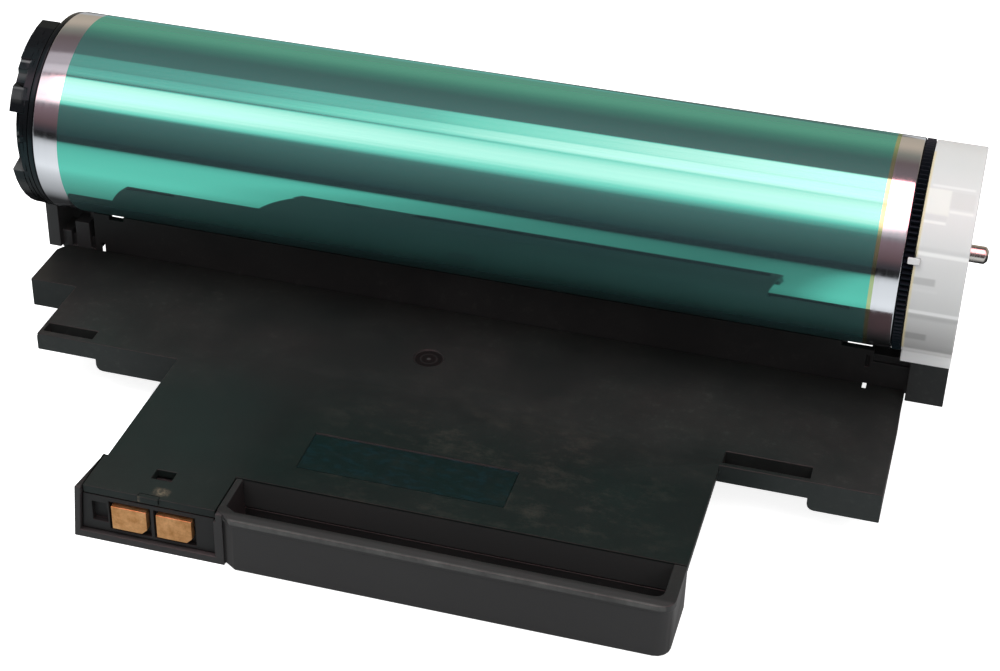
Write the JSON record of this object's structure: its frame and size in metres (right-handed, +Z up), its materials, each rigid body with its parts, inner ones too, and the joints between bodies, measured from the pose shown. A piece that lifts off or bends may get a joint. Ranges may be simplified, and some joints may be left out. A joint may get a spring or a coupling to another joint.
{
  "type": "printer drum unit",
  "caption": "Laser printer drum unit: a coated photoconductor drum in a black plastic carrier, with end caps, a gear ring, contact pads and a finger trough.",
  "frame": {"origin": "middle of the bounding box's underside, on the surface the unit rests on", "axes": "+X along the drum towards the gear ring and white cap, +Y from the finger trough towards the drum, +Z up"},
  "size_m": [0.285, 0.1582, 0.0913],
  "materials": {
    "photoconductor_coating": "aluminium tube under a mirror-smooth green coating",
    "black_plastic": "fine moulded texture, dusty",
    "flange_plastic": "smooth black moulding",
    "natural_plastic": "natural, slightly translucent",
    "ground_steel": "ground",
    "zinc_plated_steel": "zinc plated",
    "copper": "bare copper alloy, dull",
    "conductive_rubber": "matt",
    "blade_polyurethane": "amber, smooth",
    "polyester_film": "thin film",
    "felt": "felt",
    "acetal": "off-white moulding",
    "fuse_body": "pale fuse body"
  },
  "bodies": {
    "carrier": {"axle": "ground_steel", "left_bearing_cap": "flange_plastic", "right_bearing_cap": "natural_plastic", "left_cap_screw": "zinc_plated_steel", "right_cap_screw": "zinc_plated_steel", "main_frame": "black_plastic", "tray_cover": "black_plastic", "cover_screw_1": "zinc_plated_steel", "cover_screw_2": "zinc_plated_steel", "cover_screw_3": "zinc_plated_steel", "cover_screw_4": "zinc_plated_steel", "contact_holder": "black_plastic", "contact_pad_left": "copper", "contact_pad_right": "copper", "reset_fuse": "fuse_body", "charge_bearing_left": "acetal", "charge_bearing_right": "acetal", "charge_spring_left": "zinc_plated_steel", "charge_spring_right": "zinc_plated_steel", "blade_bracket": "zinc_plated_steel", "cleaning_blade": "blade_polyurethane", "blade_screw_1": "zinc_plated_steel", "blade_screw_2": "zinc_plated_steel", "blade_screw_3": "zinc_plated_steel", "recovery_film": "polyester_film", "end_seal_left": "felt", "end_seal_right": "felt"},
    "drum": {"photoconductor_tube": "photoconductor_coating", "left_flange": "flange_plastic", "drive_gear_flange": "flange_plastic", "earthing_plate": "copper"},
    "charge_roller": {"charge_roller_shaft": "ground_steel", "charge_roller_sleeve": "conductive_rubber"},
    "idler": {"idler_gear": "acetal"},
    "auger": {"waste_auger": "black_plastic", "auger_gear": "acetal"}
  },
  "joints": [
    {"name": "drum_spin", "type": "hinge", "parent": "carrier", "child": "drum", "pos_m": [0, 0.0431, 0.0613], "axis": [1, 0, 0], "continuous": true},
    {"name": "charge_roller_spin", "type": "hinge", "parent": "carrier", "child": "charge_roller", "pos_m": [0, 0.06672, 0.03507], "axis": [1, 0, 0], "continuous": true},
    {"name": "idler_spin", "type": "hinge", "parent": "carrier", "child": "idler", "pos_m": [0, 0.06091, 0.02587], "axis": [1, 0, 0], "continuous": true},
    {"name": "auger_spin", "type": "hinge", "parent": "carrier", "child": "auger", "pos_m": [0, 0.0491, 0.0108], "axis": [1, 0, 0], "continuous": true}
  ],
  "couplings": [
    {"joint": "charge_roller_spin", "follows": "drum_spin", "ratio": -6},
    {"joint": "idler_spin", "follows": "drum_spin", "ratio": -2.95},
    {"joint": "auger_spin", "follows": "drum_spin", "ratio": 3.2778}
  ]
}
